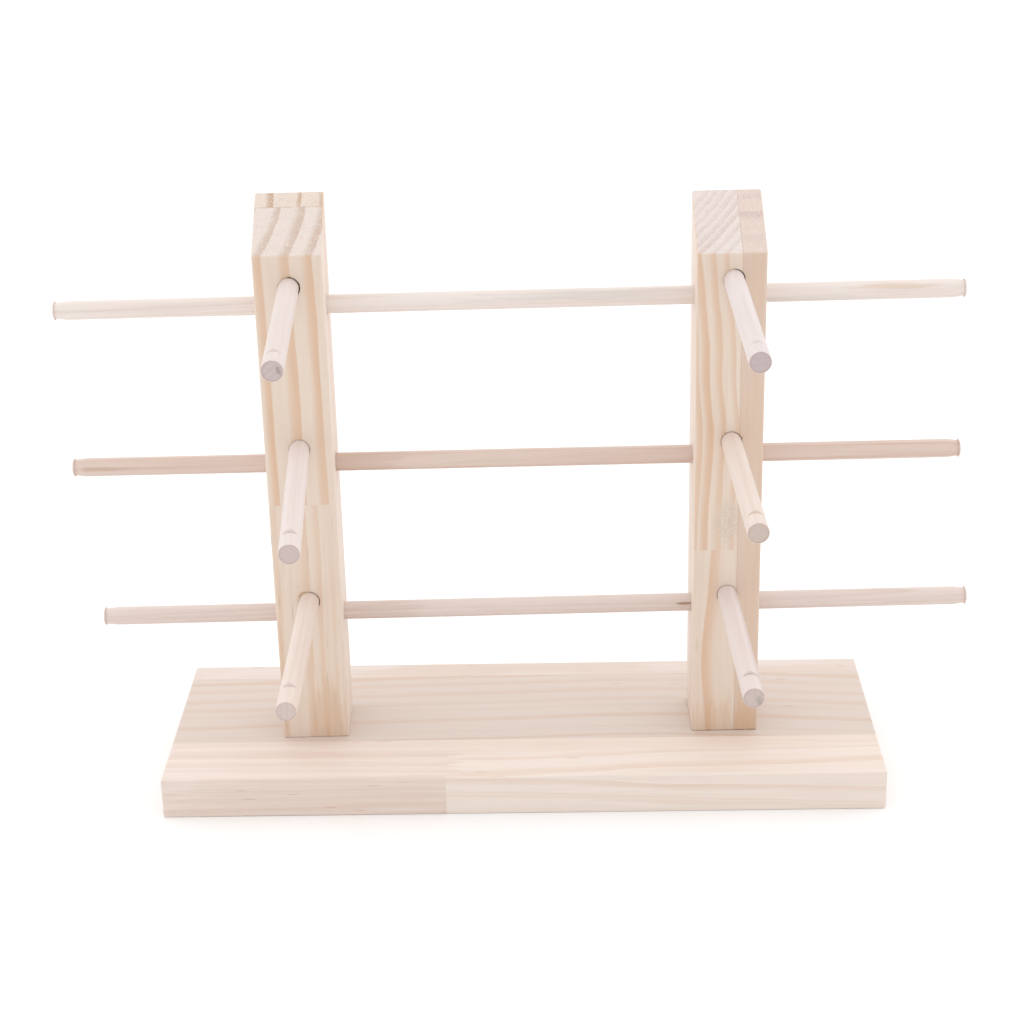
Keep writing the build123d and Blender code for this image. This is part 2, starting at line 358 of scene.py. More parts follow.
def stain(graph, spot, reach, axes=(0, 2), streaky=0.5, only_end=False, only_front=False, rippled=False):
    """A soft patch round a spot, in mm along two of u, v and w, broken up along the grain, laid both for
    real stain marks and as painted shade.

    It can be kept to the sawn end or to the front half, and broken into ripples across the grain.
    """
    ragged = graph.line(graph.noise(grain(graph, 1.5, 14.0)), 0.2, 0.8, -0.35, 0.35)
    sides = []
    for axis, middle, half in zip(axes, spot, reach):
        sides.append(graph.math("DIVIDE", graph.math("SUBTRACT", graph.place[axis], middle), half))
    away = graph.math("ADD", graph.size(*sides, 0.0), ragged)
    streaks = graph.line(graph.noise(grain(graph, 0.9, 40.0)), 0.35, 0.6, 1.0 - streaky, 1.0)
    if rippled:
        streaks = graph.spread(graph.noise(grain(graph, 1.6, 0.9), detail=1.0), 0.4, 0.62)
    share = graph.times(graph.spread(away, 0.35, 1.0, 1.0, 0.0), streaks)
    if only_front:
        share = graph.times(share, graph.spread(graph.place[1], -6.0, 2.0, 1.0, 0.0))
    return graph.times(share, graph.spread(graph.facing[2], 0.6, 0.9)) if only_end else share


STAIN_OPTIONS = ("axes", "streaky", "only_end", "only_front", "rippled")


def stained_and_shaded(graph, colour, stains_and_shade):
    """A colour with patches laid over it, real stain marks and painted shade, each a dict of stain()'s
    arguments, a share and a colour.
    """
    for mark in stains_and_shade:
        options = {key: value for key, value in mark.items() if key in STAIN_OPTIONS}
        share = graph.times(stain(graph, *mark["at"], **options), mark["share"])
        colour = graph.mix(share, colour, srgb(*mark["colour"]))
    return colour


SEAM_EDGE = (0.08, 0.38)  # mm from a glue line's middle at which it starts and ends fading


def seam_line(graph, axis, at):
    """The thin line of a glued seam at a place along u, v or w."""
    away = graph.math("ABSOLUTE", graph.math("SUBTRACT", graph.place[axis], at))
    patchy = graph.line(graph.noise(grain(graph, 3.0, 12.0)), 0.35, 0.65, 0.3, 1.0)
    return graph.times(graph.spread(away, *SEAM_EDGE, 1.0, 0.0), patchy)


# ------------------------------------------------------------------ pine
POST_TONE = {
    "early": (226, 209, 194),
    "late": (217, 183, 155),
    "canal": (178, 138, 98),
    # side: painted light, a paler colour for the posts' side faces, which the lamps at the sides and behind
    # light more
    "side": (234, 222, 214),
    "end_early": (229, 215, 206),
    "end_late": (205, 181, 165),
    "pale_fleck": (243, 236, 231),
    "glue": (186, 156, 134),
}
BOARD_TONE = {
    "early": (233, 219, 211),
    "late": (210, 184, 164),
    "canal": (170, 128, 96),
    # side: a paler colour for painted light on side faces, not used on the board
    "side": (231, 215, 205),
    "end_early": (222, 203, 190),
    "end_late": (198, 170, 148),
    "pale_fleck": (238, 228, 220),
    "glue": (196, 166, 146),
}
CANAL_STRENGTH = 0.8
SIDE_LIGHT_FRONT_BACK = (0.5, 1.1)  # strength of the painted light on a post's side faces at its front and at its back
PINE_RELIEF = 0.05  # mm
DOWEL_RELIEF = 0.03
ZINC_RELIEF = 0.01


def tones(base, **changes):
    """A tone's colours for the shader, some of them changed."""
    return {key: srgb(*value) for key, value in {**base, **changes}.items()}


def resin_canals(graph, canals, spots):
    """Resin canals as (share of the cells that hold one, mm long), in bands and in some spots."""
    share, length = canals
    gate = graph.spread(graph.noise(grain(graph, 9.0, 60.0)), 0.45, 0.6)
    for spot, reach in spots:
        gate = graph.math("MAXIMUM", gate, stain(graph, spot, reach, streaky=0.0))
    return graph.times(dashes(graph, length, share), gate)


def sawn_end(graph, late, tone):
    """Pine sawn across: its colour, and the two noises that roughen it."""
    speck = graph.noise(grain(graph, 0.35, 0.35), roughness=0.7)
    fleck = graph.spread(graph.cells(grain(graph, 0.9, 0.9)), 0.15, 0.4, 1.0, 0.0)
    pit = graph.spread(graph.cells(grain(graph, 1.3, 1.3)), 0.1, 0.28, 1.0, 0.0)
    clump = graph.noise(grain(graph, 2.6, 2.6))
    end_grain = graph.mix(late, tone["end_early"], tone["end_late"])
    pale = graph.times(fleck, graph.spread(clump, 0.42, 0.58))
    end_grain = graph.mix(pale, end_grain, tone["pale_fleck"])
    dark = graph.times(pit, graph.spread(clump, 0.5, 0.38, 0.0, 0.7))
    end_grain = graph.mix(dark, end_grain, tone["end_late"])
    return graph.shade(end_grain, graph.line(speck, 0.3, 0.7, 0.9, 1.08)), speck, fleck


def pine(name, cut, rings, tone, drift=(), wander=0.8, canals=(0.12, 22.0), canal_spots=(),
         streaks=0.14, painted_side_light=0.0, stains_and_shade=(), seams=()):
    """Sanded pine: rings, fibres, resin canals and, where it was sawn across, end grain."""
    graph = material_graph(name)
    cut.lay(graph)
    distance = heart_distance(graph, cut, drift, wander, 0.4)
    late = named_rings(graph, cut, distance, rings)
    patch = graph.noise(grain(graph, 14.0, 90.0), detail=1.0)
    late = graph.times(late, graph.line(patch, 0.3, 0.7, 0.7, 1.1))
    fibre = graph.noise(grain(graph, 0.45, 26.0), detail=3.0, roughness=0.6)
    broad = graph.noise(grain(graph, 1.8, 70.0))
    ends = graph.spread(graph.facing[2], 0.6, 0.8)

    long_grain = graph.mix(late, tone["early"], tone["late"])
    long_grain = graph.mix(graph.spread(broad, 0.4, 0.7, 0.0, streaks), long_grain, tone["late"])
    canal = resin_canals(graph, canals, canal_spots)
    long_grain = graph.mix(graph.times(canal, CANAL_STRENGTH), long_grain, tone["canal"])
    # Painted light: a post's side faces are painted paler, more towards the back, for the lamps at its sides
    # and behind it.
    if painted_side_light:
        from_front = graph.line(graph.place[1], -POST_HALF_DEPTH, POST_HALF_DEPTH, *SIDE_LIGHT_FRONT_BACK)
        sides = graph.times(graph.spread(graph.facing[0], 0.6, 0.9), painted_side_light, from_front)
        long_grain = graph.mix(sides, long_grain, tone["side"])
    long_grain = graph.shade(long_grain, graph.line(fibre, 0.3, 0.7, 0.97, 1.03))

    end_grain, speck, fleck = sawn_end(graph, late, tone)
    colour = graph.mix(ends, long_grain, end_grain)
    colour = stained_and_shaded(graph, colour, stains_and_shade)
    for axis, at, share in seams:
        colour = graph.mix(graph.times(seam_line(graph, axis, at), share), colour, tone["glue"])
    roughness = graph.total(graph.line(fibre, 0.3, 0.7, 0.52, 0.66), graph.times(ends, 0.15))
    smooth = graph.math("SUBTRACT", 1.0, ends)
    relief = graph.times(graph.math("SUBTRACT", fibre, graph.times(canal, 0.5)), smooth)
    rough = graph.times(graph.total(speck, fleck), ends, 2.5)
    return graph.finish(colour, roughness, graph.total(relief, rough), PINE_RELIEF * MM)


# ------------------------------------------------------------------ where the pieces are
def middle(*nodes):
    """Middle of the box round CAD nodes."""
    boxes = [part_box(node) for node in nodes]
    low = Vector([min(box[0][i] for box in boxes) for i in range(3)])
    high = Vector([max(box[1][i] for box in boxes) for i in range(3)])
    return (low + high) / 2


BOARD_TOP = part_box("base_middle_stave")[1].z / MM  # mm
POST_HALF_DEPTH = 15.8  # mm
LEFT_POST = ("left_post_lower", "left_post_back_lamina")
RIGHT_POST = ("right_post_lower", "right_post_side_stave")
LEFT_TWIST = 1.6  # degrees about the vertical
RIGHT_TWIST = 0.8
LAMINA_SEAM = 8.2  # v of the left post's glue line
SIDE_SEAM = 4.4  # u of the right post's glue line


def board_cut(heart):
    """A stave of the board: u to the back, v up, w along X."""
    return Cut((0, 0, 0), (0, 1, 0), (0, 0, 1), (1, 0, 0), heart, BOARD_TOP)


def post_cut(nodes, twist, heart, show=-POST_HALF_DEPTH):
    """A piece of a post: u to the right, v to the back, w up from the board's underside."""
    centre = middle(*nodes)
    turn = radians(twist)
    across, back = (cos(turn), sin(turn), 0), (-sin(turn), cos(turn), 0)
    return Cut((centre.x, centre.y, 0), across, back, (0, 0, 1), heart, show)


def left_cut(heart, show=-POST_HALF_DEPTH):
    """A piece of the left post."""
    return post_cut(LEFT_POST, LEFT_TWIST, heart, show)


def right_cut(heart, show=-POST_HALF_DEPTH):
    """A piece of the right post."""
    return post_cut(RIGHT_POST, RIGHT_TWIST, heart, show)


class Dowel:
    """Where a dowel lies, worked out from its joint and the box of its CAD node."""

    def __init__(self, node):
        self.node = node
        self.along = joint_axis[node].normalized()
        self.side = Vector((0, 0, 1)).cross(self.along).normalized()
        self.up = self.along.cross(self.side)
        self.middle = middle(node)
        low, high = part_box(node)
        sides = high - low
        lean = [abs(share) for share in self.along]
        level = [sqrt(1 - share * share) for share in lean]
        long = lean.index(max(lean))
        slope = lean[2] / lean[long]
        self.width = (sides[2] - slope * sides[long]) / (level[2] - slope * level[long])
        self.length = (sides[long] - self.width * level[long]) / lean[long]

    def point(self, x, y, t):
        """The place x to the side, y up and t along from the middle, all in mm."""
        return self.middle + (self.side * x + self.up * y + self.along * t) * MM


# ------------------------------------------------------------------ finishes of the CAD pieces
FRONT_EDGE = -55.5  # mm, u of the board's front face


def finish_board():
    """The board's four staves, each from its own plank."""
    sag = ((-160, -6.6), (-120, -4.8), (-60, -1.8), (0, 0), (40, 1.8), (70, 1.4), (118, -2.2), (160, -6.4))
    rise = ((-30, -2.5), (0, -1.5), (40, 1.0), (60, 3), (118, 5.2), (160, 7.0))
    back = pine(
        "pine_back_stave", board_cut((52, -60)),
        [(56.0, 4, 0.3), (50.8, 3, 0.4), (44.0, 2.5, 0.5)],
        tones(BOARD_TONE, early=(225, 213, 206)), wander=2.0, seams=[(0, 42.0, 0.5)],
    )
    centre = pine(
        "pine_middle_stave", board_cut((75, -50)),
        [(41.2, 1.8, 1.0), (33.0, 2.5, 0.55), (23.0, 3, 0.6), (13.8, 3, 0.5), (7.4, 2.5, 0.3),
         (-2.2, 3, 0.8), (-12.5, 2, 0.25), (-20.2, 1.8, 1.0)],
        tones(BOARD_TONE, early=(216, 202, 193), late=(211, 187, 169)), drift=sag, wander=0.3,
        seams=[(0, -21.0, 0.5)],
    )
    left = pine(
        "pine_front_left", board_cut((-20, -25)),
        [(-26, 2, 0.25), (-36, 2, 0.5), (-44, 2, 0.35), (-49, 2, 0.3), (-57, 2, 0.2), (-62, 2, 0.3)],
        tones(BOARD_TONE, late=(214, 188, 170)), canals=(0.5, 24.0), wander=0.5,
        canal_spots=[((FRONT_EDGE, -95), (5, 80))],
        drift=((-160, 1.1), (-125, 0.5), (-100, 0.4), (-70, -0.5), (-34, -1.2)),
        stains_and_shade=[
            {"at": ((FRONT_EDGE, -70), (3, 130)), "share": 0.32, "colour": (206, 180, 162), "streaky": 0.3},
        ],
    )
    right = pine(
        "pine_front_right", board_cut((-25, -30)),
        [(-33.5, 2, 0.25), (-38, 2.5, 0.45), (-52, 2.5, 0.5), (-58, 3, 0.15)],
        tones(BOARD_TONE, early=(234, 221, 212), late=(218, 191, 168)), drift=rise, wander=0.5,
        canals=(0.2, 26.0),
    )
    return {
        "base_back_stave": back,
        "base_middle_stave": centre,
        "base_front_left_stave": left,
        "base_front_right_stave": right,
    }


AMBER = (206, 168, 128)
JOINT_GREY = (216, 200, 185)  # where the cutter of the finger joint burnished the wood
JOINT_CHATTER = (198, 180, 165)
BURNISHED = {"streaky": 0.2, "only_front": True}
# Painted contact shade: a dark line painted where a post stands on the board.
FOOT_CONTACT_SHADE = (112, 76, 48)


def finish_left_post():
    """The left post: two lengths finger-jointed end to end, and a lamina glued to their back."""
    # Each piece of this post has its side faces painted paler as painted light.
    lean = ((18, 0), (134, 1.2), (165, 0.9), (200, 0.6), (245, 0), (265, 0))
    upper = pine(
        "pine_left_upper", left_cut((-76.4, 18.4)),
        [(-34, 4, 0.6), (-23, 4, 0.7), (-11.2, 3.6, 1.0), (0.6, 4.8, 1.0), (10.4, 4.4, 1.0), (19, 4.5, 0.7)],
        tones(POST_TONE), drift=lean, painted_side_light=0.6, canals=(0.05, 30.0), streaks=0.1,
        seams=[(1, LAMINA_SEAM, 0.6)],
    )
    lower = pine(
        "pine_left_lower", left_cut((-60, 25)),
        [(-30, 4, 0.6), (-21, 4, 0.6), (-12.3, 2.5, 0.45), (0.8, 3.4, 0.6), (6.4, 2.5, 0.5), (12, 2, 0.25)],
        tones(POST_TONE), canals=(0.8, 42.0), streaks=0.15, painted_side_light=0.6,
        canal_spots=[((9.5, 108), (6, 36)), ((11.0, 68), (5, 34)), ((-8.5, 88), (4.5, 20))],
        stains_and_shade=[
            # The first amber patch, at the foot, is partly the wood's own colour and partly painted shade
            # near the board; the last patch is painted contact shade, a dark line where the post stands on
            # it.
            {"at": ((6, 18), (11, 38)), "share": 0.5, "colour": AMBER},
            {"at": ((-14, 40), (3, 50)), "share": 0.3, "colour": AMBER},
            {"at": ((0, BOARD_TOP), (40, 0.5)), "share": 0.7, "colour": FOOT_CONTACT_SHADE},
        ],
        seams=[(1, LAMINA_SEAM, 0.6)],
    )
    lamina = pine(
        "pine_left_lamina", left_cut((-90, 12), show=12),
        [(-20, 4, 0.8), (-6.8, 3.4, 1.0), (5.0, 2.2, 1.0), (15.2, 3, 0.8)],
        tones(POST_TONE, end_early=(229, 213, 200), end_late=(196, 164, 136)), painted_side_light=0.6,
        wander=0.3, seams=[(1, LAMINA_SEAM, 0.6)],
    )
    return {"left_post_upper": upper, "left_post_lower": lower, "left_post_back_lamina": lamina}


def finish_right_post():
    """The right post: two finger-jointed lengths and a full-height stave on their right."""
    # Each piece of this post has its side faces painted paler as painted light.
    wave = ((18, 0.5), (112, 0.5), (125, 0.7), (150, 2.0), (165, 2.4), (185, 0.4), (205, 0), (220, -1.5),
            (240, -3.2), (262, -4))
    hook = ((18, -0.4), (34, -1.3), (46, -2.1), (58, -2.4), (72, -1.3), (87, 0.0), (96, 0.6),
            (106, 1.1), (118, 1.7))
    upper = pine(
        "pine_right_upper", right_cut((-105, 90)),
        [(-36, 2.6, 0.6), (-30.5, 2.6, 0.6), (-25, 2.6, 0.7), (-19.6, 2.6, 0.7), (-14.2, 2.6, 0.8),
         (-9.6, 2.6, 1.0), (-4.0, 2.2, 0.8), (1.8, 2.1, 0.7)],
        tones(POST_TONE, end_early=(231, 218, 213), end_late=(214, 196, 188)), drift=wave, wander=0.4,
        painted_side_light=0.6,
        stains_and_shade=[
            {**BURNISHED, "at": ((-0.5, 121), (8, 15)), "share": 0.7, "colour": JOINT_GREY},
            {**BURNISHED, "at": ((0, 120), (7, 13)), "share": 0.4, "colour": JOINT_CHATTER, "rippled": True},
        ],
        seams=[(0, SIDE_SEAM, 0.4)],
    )
    lower = pine(
        "pine_right_lower", right_cut((60, 30)),
        [(-28, 4, 0.5), (-21, 4, 0.5), (-14.9, 2, 0.2), (-8.2, 4.6, 1.0), (5.6, 1.5, 0.3)],
        tones(POST_TONE), drift=hook, wander=0.3, painted_side_light=0.6, canals=(0.5, 30.0),
        canal_spots=[((-5.5, 66), (2, 30))],
        stains_and_shade=[
            # The amber patch at the foot is partly the wood's own colour and partly painted shade near the
            # board; the dark line is painted contact shade where the post stands on it.
            {"at": ((-5, 20), (14, 18)), "share": 0.4, "colour": AMBER},
            {"at": ((0, BOARD_TOP), (40, 0.6)), "share": 0.9, "colour": FOOT_CONTACT_SHADE},
        ],
        seams=[(0, SIDE_SEAM, 0.4)],
    )
    side = pine(
        "pine_right_side", right_cut((12, -120)),
        [((12, -7), 4, 0.3), ((12, 4.5), 4, 1.0), ((12, 13), 3, 0.4)],
        tones(POST_TONE, early=(216, 193, 175), end_early=(225, 206, 195), end_late=(210, 188, 182)),
        painted_side_light=0.6, wander=0.5, streaks=0.3,
        stains_and_shade=[
            # The amber patch at the foot is partly the wood's own colour and partly painted shade near the
            # board; the dark line is painted contact shade where the post stands on it.
            {"at": ((10, 20), (14, 16)), "share": 0.5, "colour": AMBER},
            {"at": ((0, BOARD_TOP), (40, 0.6)), "share": 0.9, "colour": FOOT_CONTACT_SHADE},
        ],
        seams=[(0, SIDE_SEAM, 0.6)],
    )
    return {"right_post_upper": upper, "right_post_lower": lower, "right_post_side_stave": side}


def finish_screws():
    """Bright zinc with a faint mottle."""
    graph = material_graph("zinc_steel")
    AS_IT_LIES.lay(graph)
    mottle = graph.noise(grain(graph, 0.8, 0.8), detail=3.0)
    colour = graph.mix(mottle, srgb(172, 172, 168), srgb(206, 205, 198))
    graph.shader.inputs["Metallic"].default_value = 1.0
    zinc = graph.finish(colour, graph.line(mottle, 0.3, 0.7, 0.25, 0.45), mottle, ZINC_RELIEF * MM)
    return {"left_post_screws": zinc, "right_post_screws": zinc}


def dress(finishes):
    """Give each CAD node its finish."""
    for node, material in finishes.items():
        mesh = frame["nodes"][node].data
        mesh.materials.clear()
        mesh.materials.append(material)


# ------------------------------------------------------------------ finishes of the dowels
END_RIM = (3.5, 4.3)  # mm from the axis between which a dowel's end turns darker towards its rim
FILED = "filed"  # the mesh attribute that says how deep a point of a saddle is cut
# How strongly a saddle's depth darkens it: partly its cut fibres, partly painted shade in the hollow.
FILED_AND_SHADE_STRENGTH = 0.75
RAIL_TONE = {
    "early": (226, 211, 202),
    "late": (208, 184, 166),
    "end_early": (214, 198, 188),
    "end_late": (196, 176, 162),
    "end_rim": (190, 164, 152),
    "filed": (196, 176, 170),
}
PEG_TONE = {
    "early": (227, 215, 211),
    "late": (217, 201, 193),
    "end_early": (197, 182, 179),
    "end_late": (181, 164, 161),
    "end_rim": (186, 160, 154),
    # The saddle's colour is partly its cut fibres and partly painted shade in the hollow.
    "filed": (186, 166, 163),
}


def dowel_cut(node, heart, turn=0.0):
    """A dowel, w along its axis, and u turned about the axis from the upright."""
    lie = Dowel(node)
    roll = radians(turn)
    across = lie.up * cos(roll) - lie.side * sin(roll)
    return Cut(lie.middle, across, lie.along.cross(across), lie.along, heart)


def dowel(name, cut, spacing, tone, drift=(), strength=0.7, wander=0.5, stains_and_shade=()):
    """Fine-grained turned hardwood, with its end grain cut clean across."""
    graph = material_graph(name)
    cut.lay(graph)
    distance = heart_distance(graph, cut, drift, wander, 0.15)
    late = even_rings(graph, distance, spacing)
    patch = graph.noise(grain(graph, 6.0, 70.0), detail=1.0)
    late = graph.times(late, graph.line(patch, 0.3, 0.7, 0.4, 1.1), strength)
    fibre = graph.noise(grain(graph, 0.35, 16.0), detail=3.0, roughness=0.6)
    broad = graph.noise(grain(graph, 2.5, 60.0))
    ends = graph.spread(graph.facing[2], 0.88, 0.96)
    long_grain = graph.mix(late, tone["early"], tone["late"])
    long_grain = graph.mix(graph.spread(broad, 0.4, 0.7, 0.0, 0.3), long_grain, tone["late"])
    long_grain = graph.shade(long_grain, graph.line(fibre, 0.3, 0.7, 0.975, 1.025))
    speck = graph.noise(grain(graph, 0.3, 0.3), roughness=0.7)
    end_grain = graph.mix(late, tone["end_early"], tone["end_late"])
    end_grain = graph.shade(end_grain, graph.line(speck, 0.3, 0.7, 0.95, 1.05))
    rim = graph.spread(graph.size(graph.place[0], graph.place[1], 0.0), *END_RIM, 0.0, 0.6)
    end_grain = graph.mix(rim, end_grain, tone["end_rim"])
    colour = graph.mix(ends, long_grain, end_grain)
    colour = stained_and_shaded(graph, colour, stains_and_shade)
    # A peg's saddle is painted darker the deeper it is cut: partly its cut fibres, partly painted shade in
    # the hollow.
    filed = graph.node("Attribute", attribute_name=FILED).outputs["Fac"]
    colour = graph.mix(graph.times(filed, FILED_AND_SHADE_STRENGTH), colour, tone["filed"])
    roughness = graph.total(graph.line(fibre, 0.3, 0.7, 0.5, 0.62), graph.times(ends, 0.2))
    relief = graph.total(fibre, graph.times(speck, ends))
    return graph.finish(colour, roughness, relief, DOWEL_RELIEF * MM)


BLUE_STAIN = (192, 188, 182)
SHADOW_BESIDE_LEFT_POST = {"at": ((0, -68), (14, 24)), "share": 0.5, "streaky": 0.2}  # painted shadow of the left post: a darker stretch of rail beside it


def finish_rails():
    """The three rails: a creamy one with stain streaks, a tan one with flame grain, a plain one."""
    lift = ((-195, 0), (-100, 1.6), (0, 2.4), (100, 2.2), (195, 4.5))
    flame = ((-195, 0), (-150, 1.5), (-90, 3.5), (-60, 3.0), (20, 5.4), (195, 8.0))
    top = dowel(
        "dowel_rail_top", dowel_cut("rail_top", (25, 18)), 3.2,
        tones(RAIL_TONE, early=(232, 221, 215), late=(216, 197, 184)), drift=lift, strength=0.55,
        stains_and_shade=[
            {"at": ((2, 30), (2.5, 60)), "share": 0.35, "colour": BLUE_STAIN},
            {"at": ((-2, 125), (2.0, 45)), "share": 0.4, "colour": BLUE_STAIN},
            {"at": ((2.5, 165), (1.5, 26)), "share": 0.4, "colour": AMBER},
        ],
    )
    centre = dowel(
        "dowel_rail_middle", dowel_cut("rail_middle", (3, 40)), 2.6,
        tones(RAIL_TONE, early=(218, 197, 186), late=(198, 169, 152)), drift=flame, strength=1.0,
        # Painted shadow of the left post: this rail is painted darker beside it.
        stains_and_shade=[{**SHADOW_BESIDE_LEFT_POST, "colour": (196, 168, 150)}],
    )
    bottom = dowel(
        "dowel_rail_bottom", dowel_cut("rail_bottom", (20, 10)), 2.0,
        tones(RAIL_TONE, early=(223, 207, 200), late=(208, 187, 175)), drift=lift,
        stains_and_shade=[
            {"at": ((1, 68), (0.8, 5)), "share": 0.8, "colour": (150, 118, 96), "streaky": 0.0},
            # Painted shadow of the left post, darker on the rail beside it.
            {**SHADOW_BESIDE_LEFT_POST, "share": 0.35, "colour": (194, 168, 154)},
        ],
    )
    return {"rail_top": top, "rail_middle": centre, "rail_bottom": bottom}


MAUVE = (196, 178, 176)
RIGHT_FLANK = {"at": ((1.6, -3.8), (2.2, 2.0)), "axes": (0, 1)}  # high on a peg's right side


def finish_pegs():
    """The six pegs: pinkish white or warm cream, with greyish ends."""
    cream = {"early": (228, 213, 204), "late": (216, 197, 184)}
    pink = {"early": (224, 211, 206), "late": (214, 198, 192)}
    cool = {"early": (224, 213, 211), "late": (215, 200, 196)}
    # A darker patch low on a peg's end face.
    dark_end_patch = {"at": ((-0.5, -2.3), (2.4, 1.2)), "axes": (0, 1), "only_end": True}
    looks = {  # heart, turn about the axis, ring spacing, changes of tone, stains
        "peg_left_top": (
            (30, 10), 20, 2.6, {**pink, "end_early": (199, 184, 182), "end_late": (176, 160, 160)},
            [{**dark_end_patch, "share": 0.5, "colour": (120, 94, 96)}],
        ),
        "peg_left_middle": (
            (-22, 25), 10, 1.7, {"end_early": (204, 186, 182), "end_late": (182, 165, 164)}, [],
        ),
        "peg_left_bottom": (
            (2, 40), 0, 2.4, {**cream, "end_early": (208, 191, 185), "end_late": (190, 172, 168)},
            [{**RIGHT_FLANK, "share": 0.35, "colour": (214, 186, 166)}],
        ),
        "peg_right_top": (
            (25, -20), 40, 2.8, {**cool, "end_early": (194, 177, 177), "end_late": (180, 163, 166)}, [],
        ),
        "peg_right_middle": (
            (28, -12), 0, 1.5,
            {**cream, "filed": (188, 160, 136), "end_early": (202, 185, 175), "end_late": (188, 168, 156)},
            [],
        ),
        "peg_right_bottom": (
            (6, 30), 5, 2.6,
            {**pink, "filed": (168, 150, 148), "end_early": (203, 185, 180), "end_late": (184, 168, 162)},
            [
                {**RIGHT_FLANK, "share": 0.75, "colour": MAUVE},
                {**dark_end_patch, "at": ((-1.2, -2.0), (2.4, 2.0)), "share": 0.45, "colour": (136, 136, 124)},
            ],
        ),
    }
    made = {}
    for node, (heart, turn, spacing, changes, stains_and_shade) in looks.items():
        tone = tones(PEG_TONE, **changes)
        cut = dowel_cut(node, heart, turn)
        made[node] = dowel("dowel_" + node, cut, spacing, tone, strength=0.5, stains_and_shade=stains_and_shade)
    return made


# ------------------------------------------------------------------ meshes
CREASE = radians(32)  # a dowel's edges sharper than this stay sharp


def loft(mesh, rings):
    """A closed smooth skin over rings of points, with a flat face at each end."""
    around = len(rings[0])
    for first, second in zip(rings, rings[1:]):
        for i in range(around):
            j = (i + 1) % around
            mesh.faces.new((first[i], first[j], second[j], second[i])).smooth = True
    mesh.faces.new(reversed(rings[0]))
    mesh.faces.new(rings[-1])


def new_piece(name, mesh, material):
    """An object made of a finished mesh, all of one material."""
    bmesh.ops.recalc_face_normals(mesh, faces=mesh.faces)
    data = bpy.data.meshes.new(name)
    mesh.to_mesh(data)
    mesh.free()
    data.materials.append(material)
    piece = bpy.data.objects.new(name, data)
    scene.collection.objects.link(piece)
    return piece


def add_dowel(lie, mesh, material):
    """Put a finished dowel in the place of its CAD node, on the node's own body."""
    piece = new_piece(lie.node + "_turned", mesh, material)
    piece.data.set_sharp_from_angle(angle=CREASE)
    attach(piece, lie.node)
    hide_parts(lie.node)


def add_fibres(name, mesh, material):
    """Put loose fibres on the stand."""
    piece = new_piece(name, mesh, material)
    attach(piece, "stand")


# ------------------------------------------------------------------ dowel shapes
AROUND = 96  # points round a dowel
RAIL_STEP = 5.0  # mm between a rail's rings
PEG_STEP = 2.5
CAP_ROUND = ((0.0, 1.0), (0.3, 0.75), (0.65, 0.4), (1.0, 0.0))  # (share in, share along) of an end's edge
RAIL_EDGE = 0.7  # mm, the rounding of a rail's ends
PEG_EDGE = 0.25
RAIL_WAVE = 0.05  # mm, how uneven a rail is
PEG_WAVE = 0.04
SWELLS = (45.0, 0.7)  # mm along a dowel to one swell, and the size in noise of the way round it
CHATTER = (2.2, 1.5)  # the same for the marks of the tool
CHATTER_SHARE = 0.25  # of a swell's height
SKIN = 0.02  # mm kept clear inside the CAD node
FILED_START = 0.03  # mm of depth at which a saddle's surface starts to be painted darker, partly for its cut fibres and partly as painted shade in the hollow
FILED_DEPTH = 0.8  # mm over which it goes fully dark


def dowel_stations(half, edge, spacing, fine=()):
    """All stations (t, radius lost) of a dowel, from its back end to its front."""
    back = [(-half + edge * (1 - run), edge * (1 - lost)) for lost, run in reversed(CAP_ROUND)]
    front = [(-t, lost) for t, lost in reversed(back)]
    count = int((2 * half - 2 * edge) / spacing)
    plain = [-half + edge + (2 * half - 2 * edge) * i / count for i in range(1, count)]
    inner = sorted(set(plain) | set(fine))
    return back + [(t, 0.0) for t in inner] + front


def turned_size(lie, wave):
    """Half the length, and the radius, that keep an uneven dowel inside its CAD node, in mm."""
    return lie.length / MM / 2 - SKIN, lie.width / MM / 2 - SKIN - wave


def surface_noise(seed, t, angle, length, girth):
    """Noise on a dowel's surface that joins up all the way round."""
    return noise.noise(Vector((t / length, girth * cos(angle), girth * sin(angle) + seed)))


def uneven(seed, t, angle, size):
    """How much a turned dowel departs from round, in mm: slow swells and faint chatter."""
    swell = surface_noise(seed, t, angle, *SWELLS)
    return size * (swell + CHATTER_SHARE * surface_noise(-seed, t, angle, *CHATTER))


def dowel_mesh(lie, stations, radius, shape):
    """A dowel's mesh. shape(t, angle, x, y) gives the place in the section, in mm, of each point."""
    mesh = bmesh.new()
    filed = mesh.verts.layers.float.new(FILED)
    rings = []
    for t, lost in stations:
        ring = []
        reach = radius - lost
        for i in range(AROUND):
            angle = 2 * pi * i / AROUND
            x, y = shape(t, angle, reach * cos(angle), reach * sin(angle))
            point = mesh.verts.new(lie.point(x, y, t))
            # The deeper a point is cut, the more painted shade and cut-fibre colour it gets.
            depth = reach * sin(angle) - y - FILED_START
            point[filed] = min(1.0, max(0.0, depth) / FILED_DEPTH)
            ring.append(point)
        rings.append(ring)
    loft(mesh, rings)
    return mesh


def make_rail(node, seed, material):
    """A long dowel, faintly wavy along its length, its ends sanded round."""
    lie = Dowel(node)
    half, radius = turned_size(lie, RAIL_WAVE)

    def shape(t, angle, x, y):
        swell = 1 + uneven(seed, t, angle, RAIL_WAVE) / radius
        return x * swell, y * swell

    mesh = dowel_mesh(lie, dowel_stations(half, RAIL_EDGE, RAIL_STEP), radius, shape)
    add_dowel(lie, mesh, material)


